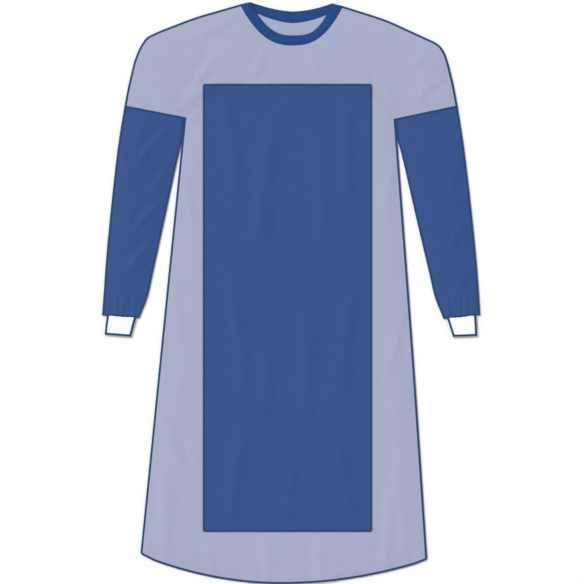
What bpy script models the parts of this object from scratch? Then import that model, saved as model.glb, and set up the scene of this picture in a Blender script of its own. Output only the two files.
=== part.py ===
"""Reinforced surgical gown, laid flat on its back with the front up.

The tables are in millimetres and the meshes in metres. +Z is up from the surface
that the gown lies on, +Y points to the neck and +X to the wearer's left. The origin
is on that surface, under the middle of the gown's outline.

The layers, from the surface up, are the left back panel, the right back panel that
laps over it, the front panel, and the reinforcement sewn on the front. The sleeves
and cuffs are flattened tubes that continue the same two layers.
"""

import math
from collections import namedtuple

import bmesh
import bpy
import numpy as np
from mathutils import Vector
from mathutils.geometry import delaunay_2d_cdt

MM = 0.001

# Cloth thickness and the gap between pieces
CLOTH = 1.0
FRONT_BAND = 1.6
KNIT = 1.4
SEAM_GAP = 0.3

# Underside of the front away from its edges, and how quickly it rises to that height
LOFT = 3.6
LOFT_REACH = 22.0

# Where the two back panels end, past the middle of the back
LEFT_BACK_EDGE_X = -62.0
RIGHT_BACK_EDGE_X = 84.8

# The right back climbs onto the left one between these two lines
CLIMB_START_X = -80.0
CLIMB_END_X = -66.0
CLIMB_LINES = 4
CLIMB_LINE_END = 2.0

# The front's edges rise over the lapped backs at these lines, from the right to the left
LAP_RISE_X = (-103.0, -84.0, 87.0, 107.5)

# Each neck curve falls from its two ends to a low point on the neck's own middle line
NECK_MIDDLE_X = 2.5
NECK_SIDE = {"right": (-106.4, 607.9), "left": (108.2, 604.4)}
NECK_PEAK = {"right": (-85.0, 612.4), "left": (85.0, 609.6)}
NeckCurve = namedtuple("NeckCurve", "ends low_y power_right power_left")
NECK_CURVES = {
    "front_seam": NeckCurve(NECK_SIDE, 522.3, 2.42, 2.6),
    "front_edge": NeckCurve(NECK_PEAK, 542.4, 2.42, 3.2),
    "back_edge": NeckCurve(NECK_PEAK, 592.9, 1.6, 1.9),
    "back_seam": NeckCurve(NECK_SIDE, 569.4, 1.63, 1.83),
}

# Shoulder and overarm, from the neck out and down to the top of the armhole seam
ShoulderPoint = namedtuple("ShoulderPoint", "x y_right y_left")
SHOULDER = (
    ShoulderPoint(150.0, 595.3, 591.4),
    ShoulderPoint(200.0, 580.5, 574.7),
    ShoulderPoint(250.0, 561.8, 552.5),
    ShoulderPoint(285.0, 547.6, 536.3),
    ShoulderPoint(303.0, 537.8, 527.9),
    ShoulderPoint(314.0, 523.4, 519.6),
    ShoulderPoint(322.0, 507.7, 507.5),
    ShoulderPoint(330.0, 486.0, 485.4),
    ShoulderPoint(337.0, 457.2, 457.7),
    ShoulderPoint(343.0, 431.1, 431.2),
    ShoulderPoint(350.0, 393.5, 393.5),
)

# Side seam of each side
SidePoints = namedtuple("SidePoints", "underarm halfway hem_corner")
SIDE_SEAM = {
    "right": SidePoints((-224.3, 369.0), (-275.8, -140.0), (-317.0, -550.4)),
    "left": SidePoints((219.8, 366.0), (257.9, -140.0), (287.1, -560.2)),
}
HEM_LOW_X = -20.0
HEM_LOW_Y = -609.6
HEM_POWER = 2.0
HEM_CORNER_RADIUS = 13.0

# Reinforcement on the front
REINFORCEMENT_X = (-185.2, 170.2)
REINFORCEMENT_Y = (-500.0, 440.9)

# Sleeve from the upper arm to the wrist, and cuff from its root to its end; x is out from the middle
TubeSection = namedtuple("TubeSection", "name outer_x outer_y inner_x inner_y")
SLEEVE = {
    "right": (
        TubeSection("underarm", 358.2, 345.0, 229.9, 322.0),
        TubeSection("upper arm", 366.2, 288.5, 242.3, 265.0),
        TubeSection("elbow", 380.1, 162.5, 268.5, 142.5),
        TubeSection("forearm", 389.4, 61.7, 290.1, 43.8),
        TubeSection("taper", 393.5, 2.9, 301.6, -7.6),
        TubeSection("wrist", 396.9, -44.2, 318.4, -50.2),
    ),
    "left": (
        TubeSection("underarm", 355.9, 357.0, 223.9, 329.0),
        TubeSection("upper arm", 365.7, 288.5, 238.7, 265.0),
        TubeSection("elbow", 380.2, 162.5, 266.7, 142.5),
        TubeSection("forearm", 390.1, 61.7, 290.1, 43.8),
        TubeSection("taper", 394.6, 2.9, 302.3, -7.6),
        TubeSection("wrist", 397.3, -43.7, 319.9, -52.1),
    ),
}
CUFF = {
    "right": (
        TubeSection("root", 386.6, -45.6, 325.2, -50.1),
        TubeSection("middle", 389.4, -65.6, 330.8, -70.0),
        TubeSection("end", 391.3, -85.8, 335.9, -90.2),
    ),
    "left": (
        TubeSection("root", 388.5, -45.1, 327.8, -51.6),
        TubeSection("middle", 390.2, -66.7, 334.0, -71.0),
        TubeSection("end", 390.8, -88.8, 340.3, -90.4),
    ),
}
UNDERARM_CLEARANCE = 0.5
CUFF_LOFT = 0.9
CUFF_LOFT_REACH = 7.0
RIBS = 18
RIB_HEIGHT = 0.4

# The largest soft folds: a ridge along a line, with its half width and height
Fold = namedtuple("Fold", "x0 y0 x1 y1 half_width height")
FRONT_FOLDS = (
    Fold(-276.0, -520.0, -228.0, -150.0, 24.0, 0.9),
    Fold(-212.0, -560.0, -206.0, -330.0, 20.0, 0.6),
    Fold(238.0, -530.0, 214.0, -120.0, 24.0, 0.9),
    Fold(-214.0, 330.0, -205.0, 40.0, 18.0, 0.6),
    Fold(200.0, 320.0, 206.0, 60.0, 18.0, 0.6),
    Fold(-225.0, 392.0, -128.0, 505.0, 24.0, 0.8),
    Fold(222.0, 388.0, 140.0, 495.0, 24.0, 0.7),
    Fold(-300.0, 500.0, -262.0, 415.0, 22.0, 0.7),
    Fold(296.0, 490.0, 268.0, 412.0, 22.0, 0.7),
    Fold(-118.0, -470.0, -64.0, 180.0, 46.0, 0.8),
    Fold(92.0, -440.0, 72.0, 300.0, 44.0, 0.7),
)
SLEEVE_FOLDS = (
    Fold(318.0, 360.0, 346.0, 120.0, 20.0, 0.7),
    Fold(275.0, 300.0, 322.0, 60.0, 18.0, 0.6),
    Fold(352.0, 60.0, 356.0, -40.0, 14.0, 0.5),
)

# Mesh spacing
CURVE_STEP = 16.0
STRAIGHT_STEP = 34.0
CORNER_POINTS = 4
GRID_STEP = 36.0
EDGE_ROWS = (7.0, 20.0)
ROW_CLEARANCE = 10.0
NECK_STATIONS = 26
BAND_COLUMNS = 4
SLEEVE_STEP = 28.0
SLEEVE_SHARES = (0.0, 0.08, 0.2, 0.35, 0.5, 0.65, 0.8, 0.92, 1.0)
CUFF_STEP = 60.0
POINTS_PER_RIB = 4
FOLD_ROUNDING = 0.6

# Colours as drawn, in sRGB
LAVENDER = (169, 175, 201)
BLUE = (58, 85, 140)
NAVY = (43, 76, 131)
WHITE = (250, 250, 247)

SIGN = {"right": -1.0, "left": 1.0}


def clear_scene():
    for obj in list(bpy.data.objects):
        bpy.data.objects.remove(obj, do_unlink=True)


def linear(channel):
    value = channel / 255
    return value / 12.92 if value <= 0.04045 else ((value + 0.055) / 1.055) ** 2.4


def cloth_material(name, colour, roughness):
    material = bpy.data.materials.new(name)
    material.use_nodes = True
    shader = material.node_tree.nodes["Principled BSDF"]
    shader.inputs["Base Color"].default_value = (*map(linear, colour), 1.0)
    shader.inputs["Roughness"].default_value = roughness
    shader.inputs["Metallic"].default_value = 0.0
    return material


def ease(start, end, value):
    """0 at start, 1 at end, and smooth in between."""
    t = np.clip((value - start) / (end - start), 0.0, 1.0)
    return t * t * (3 - 2 * t)


def smooth_curve(points, step):
    """Points about a step apart on a centripetal Catmull-Rom spline through the given ones."""
    points = [np.array(p, float) for p in points]
    points = [2 * points[0] - points[1], *points, 2 * points[-1] - points[-2]]
    made = [points[1]]
    for p0, p1, p2, p3 in zip(points, points[1:], points[2:], points[3:]):
        k0 = 0.0
        k1 = k0 + math.sqrt(np.linalg.norm(p1 - p0))
        k2 = k1 + math.sqrt(np.linalg.norm(p2 - p1))
        k3 = k2 + math.sqrt(np.linalg.norm(p3 - p2))
        count = max(1, round(np.linalg.norm(p2 - p1) / step))
        for k in np.linspace(k1, k2, count + 1)[1:]:
            a1 = (k1 - k) / (k1 - k0) * p0 + (k - k0) / (k1 - k0) * p1
            a2 = (k2 - k) / (k2 - k1) * p1 + (k - k1) / (k2 - k1) * p2
            a3 = (k3 - k) / (k3 - k2) * p2 + (k - k2) / (k3 - k2) * p3
            b1 = (k2 - k) / (k2 - k0) * a1 + (k - k0) / (k2 - k0) * a2
            b2 = (k3 - k) / (k3 - k1) * a2 + (k - k1) / (k3 - k1) * a3
            made.append((k2 - k) / (k2 - k1) * b1 + (k - k1) / (k2 - k1) * b2)
    return np.array(made)


def straight(start, end, step):
    count = max(1, round(math.dist(start, end) / step))
    return np.linspace(start, end, count + 1)


def join_runs(*runs):
    """One run of points from several that meet end to end."""
    joined = [runs[0]]
    for run in runs[1:]:
        joined.append(run[1:] if np.allclose(run[0], joined[-1][-1]) else run)
    return np.concatenate(joined)


def neck_point(name, share):
    """A point of a neck curve: share is -1 at its right end, 0 at its low point and 1 at its left end."""
    curve = NECK_CURVES[name]
    side = "right" if share < 0 else "left"
    power = curve.power_right if share < 0 else curve.power_left
    end_x, end_y = curve.ends[side]
    x = NECK_MIDDLE_X + abs(share) * (end_x - NECK_MIDDLE_X)
    y = curve.low_y + (end_y - curve.low_y) * abs(share) ** power
    return x, y


def neck_share(name, x):
    """Where on a neck curve that x lies."""
    side = "right" if x < NECK_MIDDLE_X else "left"
    end_x = NECK_CURVES[name].ends[side][0]
    return SIGN[side] * (x - NECK_MIDDLE_X) / (end_x - NECK_MIDDLE_X)


def neck_run(name, first_x, last_x):
    """Points of a neck curve from one x to another, closer together towards its steep ends."""
    angles = np.linspace(math.asin(neck_share(name, first_x)), math.asin(neck_share(name, last_x)), NECK_STATIONS)
    return np.array([neck_point(name, math.sin(angle)) for angle in angles])


def whole_neck_run(name):
    ends = NECK_CURVES[name].ends
    return neck_run(name, ends["right"][0], ends["left"][0])


def hem_y(x):
    """The hem rises as a power curve on each side of its low point."""
    side = "right" if x < HEM_LOW_X else "left"
    corner_x, corner_y = SIDE_SEAM[side].hem_corner
    return HEM_LOW_Y + (corner_y - HEM_LOW_Y) * ((x - HEM_LOW_X) / (corner_x - HEM_LOW_X)) ** HEM_POWER


def hem_run(first_x, last_x):
    count = round(abs(last_x - first_x) / STRAIGHT_STEP)
    return np.array([(x, hem_y(x)) for x in np.linspace(first_x, last_x, count + 1)])


def shoulder_run(side):
    """Neck side, shoulder and overarm, down to the armhole seam."""
    points = [NECK_SIDE[side]]
    points += [(SIGN[side] * p.x, p.y_right if side == "right" else p.y_left) for p in SHOULDER]
    return smooth_curve(points, CURVE_STEP)


def corner_run(side):
    """The rounded corner between the side seam and the hem."""
    corner, halfway = np.array(SIDE_SEAM[side].hem_corner), np.array(SIDE_SEAM[side].halfway)
    before = corner + (halfway - corner) / np.linalg.norm(halfway - corner) * HEM_CORNER_RADIUS
    after_x = corner[0] - SIGN[side] * HEM_CORNER_RADIUS
    after = np.array((after_x, hem_y(after_x)))
    turns = np.linspace(0.0, 1.0, CORNER_POINTS)[:, None]
    return (1 - turns) ** 2 * before + 2 * turns * (1 - turns) * corner + turns**2 * after


def side_seam_run(side):
    seam, corner = SIDE_SEAM[side], corner_run(side)
    return join_runs(smooth_curve([seam.underarm, seam.halfway, corner[0]], STRAIGHT_STEP), corner)


def side_run(side):
    """All of one side of the body, from the neck to the hem's corner."""
    shoulder, seam = shoulder_run(side), side_seam_run(side)
    return join_runs(shoulder, straight(shoulder[-1], seam[0], STRAIGHT_STEP), seam)


def front_outline():
    """Anticlockwise: down the right side, along the hem, up the left side and round the neck."""
    right, left = side_run("right"), side_run("left")
    lap_x = LAP_RISE_X[2]
    hem = join_runs(hem_run(right[-1][0], lap_x), hem_run(lap_x, left[-1][0]))
    return join_runs(right, hem, left[::-1], whole_neck_run("front_seam")[::-1])[:-1]


def left_back_outline():
    left = side_run("left")
    hem = hem_run(LEFT_BACK_EDGE_X, left[-1][0])
    neck = neck_run("back_seam", LEFT_BACK_EDGE_X, NECK_SIDE["left"][0])
    return join_runs(hem, left[::-1], neck[::-1])


def right_back_outline():
    right = side_run("right")
    hem = hem_run(right[-1][0], RIGHT_BACK_EDGE_X)
    neck = neck_run("back_seam", NECK_SIDE["right"][0], RIGHT_BACK_EDGE_X)
    return join_runs(right, hem, neck[::-1])[:-1]


def rectangle_outline(xs, ys):
    corners = [(xs[0], ys[0]), (xs[1], ys[0]), (xs[1], ys[1]), (xs[0], ys[1]), (xs[0], ys[0])]
    return join_runs(*[straight(a, b, STRAIGHT_STEP) for a, b in zip(corners, corners[1:])])


def inset(outline, distance):
    """An anticlockwise outline moved inwards, with its sharpest corners cut back."""
    before = outline - np.roll(outline, 1, axis=0)
    after = np.roll(outline, -1, axis=0) - outline
    normals = [np.column_stack([-d[:, 1], d[:, 0]]) / np.linalg.norm(d, axis=1)[:, None] for d in (before, after)]
    middle = normals[0] + normals[1]
    return outline + middle * distance * 2 / np.maximum((middle**2).sum(axis=1), 0.5)[:, None]


def segments(run):
    return np.stack([run[:-1], run[1:]], axis=1)


def closed_segments(outline):
    return np.stack([outline, np.roll(outline, -1, axis=0)], axis=1)


def distance_to(points, lines):
    """How far each point is from the nearest of the line segments."""
    starts, ends = lines[None, :, 0], lines[None, :, 1]
    along = ends - starts
    offset = points[:, None] - starts
    t = np.clip((offset * along).sum(2) / (along**2).sum(2), 0, 1)
    return np.linalg.norm(offset - t[:, :, None] * along, axis=2).min(axis=1)


def inside(points, outline):
    """Whether each point is inside a closed outline, by counting the edges to its right."""
    x, y = points[:, 0, None], points[:, 1, None]
    x0, y0 = outline[None, :, 0], outline[None, :, 1]
    x1, y1 = np.roll(x0, -1, axis=1), np.roll(y0, -1, axis=1)
    spans = (y0 > y) != (y1 > y)
    rise = np.where(y1 == y0, 1.0, y1 - y0)
    return (spans & (x < (x1 - x0) * (y - y0) / rise + x0)).sum(axis=1) % 2 == 1


def fold_height(points, folds):
    """The sum of the soft folds at each point."""
    total = np.zeros(len(points))
    for fold in folds:
        line = np.array([[(fold.x0, fold.y0), (fold.x1, fold.y1)]])
        total += fold.height * np.exp(-((distance_to(points, line) / fold.half_width) ** 2))
    return total


def front_height(points):
    """Underside of the front and its neckband: it lies on the backs at its edges and is loose between them."""
    runs = [shoulder_run(side) for side in SIGN] + [side_seam_run(side) for side in SIGN]
    runs += [hem_run(runs[2][-1][0], runs[3][-1][0]), whole_neck_run("front_edge")]
    edges = np.concatenate([segments(run) for run in runs])
    rise = 1 - np.exp(-distance_to(points, edges) / LOFT_REACH)
    out_right, in_right, in_left, out_left = LAP_RISE_X
    lapped = ease(out_right, in_right, points[:, 0]) * (1 - ease(in_left, out_left, points[:, 0]))
    resting = (CLOTH + SEAM_GAP) * (1 + lapped)
    return resting + (LOFT - resting + fold_height(points, FRONT_FOLDS)) * rise


def right_back_height(points):
    """Underside of the right back panel, which climbs onto the left one."""
    return (CLOTH + SEAM_GAP) * ease(CLIMB_START_X, CLIMB_END_X, points[:, 0])


def left_back_height(points):
    return np.zeros(len(points))


def grid_points(outline):
    """Staggered points well inside an outline."""
    low, high = outline.min(axis=0), outline.max(axis=0)
    rows = []
    for i, y in enumerate(np.arange(low[1], high[1], GRID_STEP * math.sqrt(3) / 2)):
        xs = np.arange(low[0] + (i % 2) * GRID_STEP / 2, high[0], GRID_STEP)
        rows.append(np.column_stack([xs, np.full(len(xs), y)]))
    points = np.concatenate(rows)
    points = points[inside(points, outline)]
    return points[distance_to(points, closed_segments(outline)) > EDGE_ROWS[-1] + ROW_CLEARANCE]


def edge_row_points(outline):
    """Rows of points along the outline, where the surface rounds off towards its edge."""
    kept = []
    for number, distance in enumerate(EDGE_ROWS):
        row = inset(outline, distance)[number % 2 :: number + 1]
        row = row[inside(row, outline)]
        kept.append(row[distance_to(row, closed_segments(outline)) > 0.9 * distance])
    return np.concatenate(kept)


def triangulate(outline, lines=(), fill=()):
    """Triangles inside a closed outline, with edges along the given lines and corners at the fill points."""
    points, edges = list(outline), [(i, (i + 1) % len(outline)) for i in range(len(outline))]
    for line in lines:
        edges += [(len(points) + i, len(points) + i + 1) for i in range(len(line) - 1)]
        points += list(line)
    points += list(fill)
    found, _, faces, *_ = delaunay_2d_cdt([Vector(p) for p in points], edges, [], 1, 1e-4)
    return np.array([tuple(p) for p in found]), [tuple(f) for f in faces]


def grid_faces(rows, columns, first=0, around=False):
    """Quads between the points of a grid stored row by row; around joins each row's end to its start."""
    faces = []
    for row in range(rows - 1):
        for column in range(columns if around else columns - 1):
            here = first + row * columns + column
            beside = first + row * columns + (column + 1) % columns
            faces.append((here, beside, beside + columns, here + columns))
    return faces


def add_object(name, points, faces, material):
    """A node from points in millimetres, with its faces turned the same way."""
    mesh = bpy.data.meshes.new(name)
    mesh.from_pydata((np.array(points) * MM).tolist(), [], faces)
    work = bmesh.new()
    work.from_mesh(mesh)
    bmesh.ops.recalc_face_normals(work, faces=work.faces)
    work.to_mesh(mesh)
    work.free()
    mesh.materials.append(material)
    mesh.shade_smooth()
    mesh.set_sharp_from_angle(angle=math.radians(40))
    obj = bpy.data.objects.new(name, mesh)
    bpy.data.collections["surgical_gown"].objects.link(obj)
    return obj


def add_sheet(name, points, heights, faces, thickness, material):
    """A wall of cloth: an open surface thickened upwards from its underside."""
    obj = add_object(name, np.column_stack([points, heights]), faces, material)
    if obj.data.polygons[0].normal.z < 0:
        obj.data.flip_normals()
    wall = obj.modifiers.new("wall", "SOLIDIFY")
    wall.thickness = thickness * MM
    wall.offset = 1.0


def add_front_and_reinforcement(lavender, blue):
    """The reinforcement is made from the front's own points inside its outline, moved up."""
    outline = inset(front_outline(), SEAM_GAP / 2)
    patch = rectangle_outline(REINFORCEMENT_X, REINFORCEMENT_Y)
    fill = np.concatenate([edge_row_points(outline), grid_points(outline)])
    fill = fill[distance_to(fill, segments(patch)) > ROW_CLEARANCE]
    points, faces = triangulate(outline, [patch], fill)
    heights = front_height(points)
    add_sheet("front", points, heights, faces, CLOTH, lavender)

    middles = np.array([points[list(face)].mean(axis=0) for face in faces])
    covered = [face for face, on_patch in zip(faces, inside(middles, patch[:-1])) if on_patch]
    used = sorted({corner for face in covered for corner in face})
    place = {corner: i for i, corner in enumerate(used)}
    covered = [tuple(place[corner] for corner in face) for face in covered]
    add_sheet("reinforcement", points[used], heights[used] + CLOTH + SEAM_GAP, covered, CLOTH, blue)


def add_backs(lavender):
    points, faces = triangulate(inset(left_back_outline(), SEAM_GAP / 2))
    add_sheet("back_left", points, left_back_height(points), faces, CLOTH, lavender)

    climbs = []
    for x in np.linspace(CLIMB_START_X, CLIMB_END_X, CLIMB_LINES):
        top = neck_point("back_seam", neck_share("back_seam", x))[1]
        climbs.append([(x, hem_y(x) + CLIMB_LINE_END), (x, top - CLIMB_LINE_END)])
    points, faces = triangulate(inset(right_back_outline(), SEAM_GAP / 2), climbs)
    add_sheet("back_right", points, right_back_height(points), faces, CLOTH, lavender)


def add_neckband(name, seams, edges, height, thickness, material):
    """A band from its seam to its free edge, as rows of points across it."""
    rows = []
    for seam, edge in zip(seams, edges):
        start = seam + (edge - seam) / np.linalg.norm(edge - seam) * SEAM_GAP / 2
        rows.append(np.linspace(start, edge, BAND_COLUMNS))
    points = np.concatenate(rows)
    add_sheet(name, points, height(points), grid_faces(len(rows), BAND_COLUMNS), thickness, material)


def add_neckbands(navy):
    seams, edges = whole_neck_run("front_seam"), whole_neck_run("front_edge")
    add_neckband("neckband_front", seams, edges, front_height, FRONT_BAND, navy)
    seams = neck_run("back_seam", NECK_SIDE["right"][0], RIGHT_BACK_EDGE_X)
    edges = neck_run("back_edge", NECK_PEAK["right"][0], RIGHT_BACK_EDGE_X)
    add_neckband("neckband_back_right", seams, edges, right_back_height, CLOTH, navy)
    seams = neck_run("back_seam", LEFT_BACK_EDGE_X, NECK_SIDE["left"][0])
    edges = neck_run("back_edge", LEFT_BACK_EDGE_X, NECK_PEAK["left"][0])
    add_neckband("neckband_back_left", seams, edges, left_back_height, CLOTH, navy)


def tube_edges(side, sections, start, step):
    """The outer and inner edge of a sleeve or cuff, as matching rows of points."""
    rows = start + [(SIGN[side] * s.outer_x, s.outer_y, SIGN[side] * s.inner_x, s.inner_y) for s in sections]
    both = smooth_curve(rows, step)
    return zip(both[:, :2], both[:, 2:])


def flat_ring(outer, inner, shares, depth, height, top, relief):
    """Points round a flattened tube, a depth inside its faces, from its outer edge to the inner one and back.

    The height is that of the tube's edges, and relief is added to the upper points.
    """
    width = np.linalg.norm(inner - outer)
    edge = depth / width
    fold = edge + FOLD_ROUNDING / width
    places = fold + np.array(shares) * (1 - 2 * fold)
    flat = outer + (inner - outer) * places[:, None]
    reach = np.minimum(places, 1 - places) * width
    lower = np.column_stack([flat, np.full(len(flat), depth)])
    upper = np.column_stack([flat, top(flat, reach) + relief - depth])
    inner_edge = [*(outer + (inner - outer) * (1 - edge)), height / 2]
    outer_edge = [*(outer + (inner - outer) * edge), height / 2]
    return np.concatenate([lower, [inner_edge], upper[::-1], [outer_edge]])


def add_tube(name, edges, shares, wall, height, top, relief, material):
    """A flattened tube of cloth: a wall between outside and inside rings, open at both ends."""
    edges = list(edges)
    outside = [flat_ring(a, b, shares, 0.0, height, top, relief) for a, b in edges]
    within = [flat_ring(a, b, shares, wall, height, top, 0.0) for a, b in edges]
    rows, around = len(edges), len(outside[0])
    size = rows * around
    faces = grid_faces(rows, around, around=True) + grid_faces(rows, around, size, around=True)
    for end in (0, size - around):
        for i in range(around):
            here, beside = end + i, end + (i + 1) % around
            faces.append((here, beside, beside + size, here + size))
    add_object(name, np.concatenate(outside + within), faces, material)


def add_sleeve(side, material):
    height = 2 * CLOTH + SEAM_GAP

    def top(points, reach):
        mirrored = points * np.array((SIGN[side], 1.0))
        loose = LOFT + CLOTH - height + fold_height(mirrored, SLEEVE_FOLDS)
        return height + loose * (1 - np.exp(-reach / LOFT_REACH))

    shoulder_x, shoulder_y = shoulder_run(side)[-1]
    underarm_x, underarm_y = SIDE_SEAM[side].underarm
    underarm_x += SIGN[side] * UNDERARM_CLEARANCE
    start = [(shoulder_x, shoulder_y - SEAM_GAP, underarm_x, underarm_y - SEAM_GAP)]
    edges = tube_edges(side, SLEEVE[side], start, SLEEVE_STEP)
    add_tube(f"sleeve_{side}", edges, SLEEVE_SHARES, CLOTH, height, top, 0.0, material)


def add_cuff(side, material):
    """Rib-knit wrist cuff: the ribs run along it and stand out on top, and its underside rests flat."""
    height = 2 * KNIT + SEAM_GAP

    def top(points, reach):
        return height + CUFF_LOFT * (1 - np.exp(-reach / CUFF_LOFT_REACH))

    shares = np.linspace(0.0, 1.0, RIBS * POINTS_PER_RIB + 1)
    ribs = RIB_HEIGHT * (0.5 - 0.5 * np.cos(2 * math.pi * RIBS * shares))
    edges = tube_edges(side, CUFF[side], [], CUFF_STEP)
    add_tube(f"cuff_{side}", edges, shares, KNIT, height, top, ribs, material)


def main():
    clear_scene()
    gown = bpy.data.collections.new("surgical_gown")
    bpy.context.scene.collection.children.link(gown)
    lavender = cloth_material("gown_cloth", LAVENDER, 0.8)
    blue = cloth_material("reinforced_cloth", BLUE, 0.65)
    navy = cloth_material("neck_binding", NAVY, 0.75)
    white = cloth_material("cuff_knit", WHITE, 0.9)
    add_backs(lavender)
    add_front_and_reinforcement(lavender, blue)
    add_neckbands(navy)
    for side in SIGN:
        add_sleeve(side, blue)
        add_cuff(side, white)


main()
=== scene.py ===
"""The looks of a reinforced surgical gown that lies flat with its front up.

Every cloth solid of the frame is replaced by a thin, finely creased shell on the same
form, and the navy overlock along the seams and edges is added. The tables are in
millimetres in the frame's own axes, and the meshes are in metres.
"""

import functools
import math
from collections import namedtuple

import bmesh
import bpy
import numpy as np
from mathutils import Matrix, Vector
from mathutils.geometry import delaunay_2d_cdt


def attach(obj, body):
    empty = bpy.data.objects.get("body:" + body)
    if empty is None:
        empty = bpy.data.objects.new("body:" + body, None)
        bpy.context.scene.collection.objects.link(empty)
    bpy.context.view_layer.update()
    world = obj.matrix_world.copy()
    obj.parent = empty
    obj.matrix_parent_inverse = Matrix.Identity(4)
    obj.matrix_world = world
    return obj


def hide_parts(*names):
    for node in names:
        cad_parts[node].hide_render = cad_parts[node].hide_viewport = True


MM = 0.001
SIGN = {"right": -1.0, "left": 1.0}


def table(kind, *rows):
    """Plain rows of numbers as named ones."""
    return [kind(*row) for row in rows]


# The solids' sizes: wall, gap between pieces, and height and reach of the front's soft rise
CLOTH = 1.0
FRONT_BAND = 1.6
KNIT = 1.4
SEAM_GAP = 0.3
LOFT = 3.6
LOFT_REACH = 22.0
CUFF_LOFT = 0.9
CUFF_LOFT_REACH = 7.0

# The shells that show are thinner than the solids' walls, and lie at their upper faces
SHELL = 0.7
PATCH_SHELL = 1.1
KNIT_SHELL = 0.9

# Where the lapped backs end and climb, and where the front rises over them
BACK_EDGE_X = {"right": 84.8, "left": -62.0}
CLIMB_START_X = -80.0
CLIMB_END_X = -66.0
LAP_RISE_X = (-103.0, -84.0, 87.0, 107.5)

# Each neck curve falls from its two ends to a low point on the neck's own middle line
NECK_MIDDLE_X = 2.5
NECK_SIDE = {"right": (-106.4, 607.9), "left": (108.2, 604.4)}
NECK_PEAK = {"right": (-85.0, 612.4), "left": (85.0, 609.6)}
NeckCurve = namedtuple("NeckCurve", "ends low_y power_right power_left")
NECK_CURVES = {
    "front_seam": NeckCurve(NECK_SIDE, 522.3, 2.42, 2.6),
    "front_edge": NeckCurve(NECK_PEAK, 542.4, 2.42, 3.2),
    "back_edge": NeckCurve(NECK_PEAK, 592.9, 1.6, 1.9),
    "back_seam": NeckCurve(NECK_SIDE, 569.4, 1.63, 1.83),
}

# Shoulder and overarm, from the neck to the armhole seam: x out from the middle, y right and y left
SHOULDER = (
    (150, 595.3, 591.4),
    (200, 580.5, 574.7),
    (250, 561.8, 552.5),
    (285, 547.6, 536.3),
    (303, 537.8, 527.9),
    (314, 523.4, 519.6),
    (322, 507.7, 507.5),
    (330, 486, 485.4),
    (337, 457.2, 457.7),
    (343, 431.1, 431.2),
    (350, 393.5, 393.5),
)

# The side seams, and the hem's low point and the power that it rises by
SidePoints = namedtuple("SidePoints", "underarm halfway hem_corner")
SIDE_SEAM = {
    "right": SidePoints((-224.3, 369.0), (-275.8, -140.0), (-317.0, -550.4)),
    "left": SidePoints((219.8, 366.0), (257.9, -140.0), (287.1, -560.2)),
}
HEM_LOW_X = -20.0
HEM_LOW_Y = -609.6
HEM_POWER = 2.0

# The hem's ends: it runs straight to a slightly rounded tip on each side
HEM_TIP = {"right": (-316.6, -546.8), "left": (286.4, -558.6)}
HEM_TIP_REACH = 28.0
HEM_TIP_ROUNDING = 5.0

REINFORCEMENT_X = (-185.2, 170.2)
REINFORCEMENT_Y = (-500.0, 440.9)

# Sleeve and cuff, from the underarm down: outer x and y, then inner x and y, with x out from the middle
SLEEVE = {
    "right": (
        (358.2, 345, 229.9, 322),
        (366.2, 288.5, 242.3, 265),
        (380.1, 162.5, 268.5, 142.5),
        (389.4, 61.7, 290.1, 43.8),
        (393.5, 2.9, 301.6, -7.6),
        (396.9, -44.2, 318.4, -50.2),
    ),
    "left": (
        (355.9, 357, 223.9, 329),
        (365.7, 288.5, 238.7, 265),
        (380.2, 162.5, 266.7, 142.5),
        (390.1, 61.7, 290.1, 43.8),
        (394.6, 2.9, 302.3, -7.6),
        (397.3, -43.7, 319.9, -52.1),
    ),
}
CUFF = {
    "right": ((386.6, -45.6, 325.2, -50.1), (389.4, -65.6, 330.8, -70), (391.3, -85.8, 335.9, -90.2)),
    "left": ((388.5, -45.1, 327.8, -51.6), (390.2, -66.7, 334, -71), (390.8, -88.8, 340.3, -90.4)),
}

# The gap between sleeve and side seam, and the ribs on each face of a cuff
UNDERARM_CLEARANCE = 0.5
RIBS = 18
RIB_HEIGHT = 0.4

# The solids' largest soft folds: a ridge along a line, with its half width and height
Fold = namedtuple("Fold", "x0 y0 x1 y1 half_width height")
FRONT_FOLDS = table(
    Fold,
    (-276, -520, -228, -150, 24, 0.9),
    (-212, -560, -206, -330, 20, 0.6),
    (238, -530, 214, -120, 24, 0.9),
    (-214, 330, -205, 40, 18, 0.6),
    (200, 320, 206, 60, 18, 0.6),
    (-225, 392, -128, 505, 24, 0.8),
    (222, 388, 140, 495, 24, 0.7),
    (-300, 500, -262, 415, 22, 0.7),
    (296, 490, 268, 412, 22, 0.7),
    (-118, -470, -64, 180, 46, 0.8),
    (92, -440, 72, 300, 44, 0.7),
)
SLEEVE_FOLDS = table(
    Fold,
    (318, 360, 346, 120, 20, 0.7),
    (275, 300, 322, 60, 18, 0.6),
    (352, 60, 356, -40, 14, 0.5),
)

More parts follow.
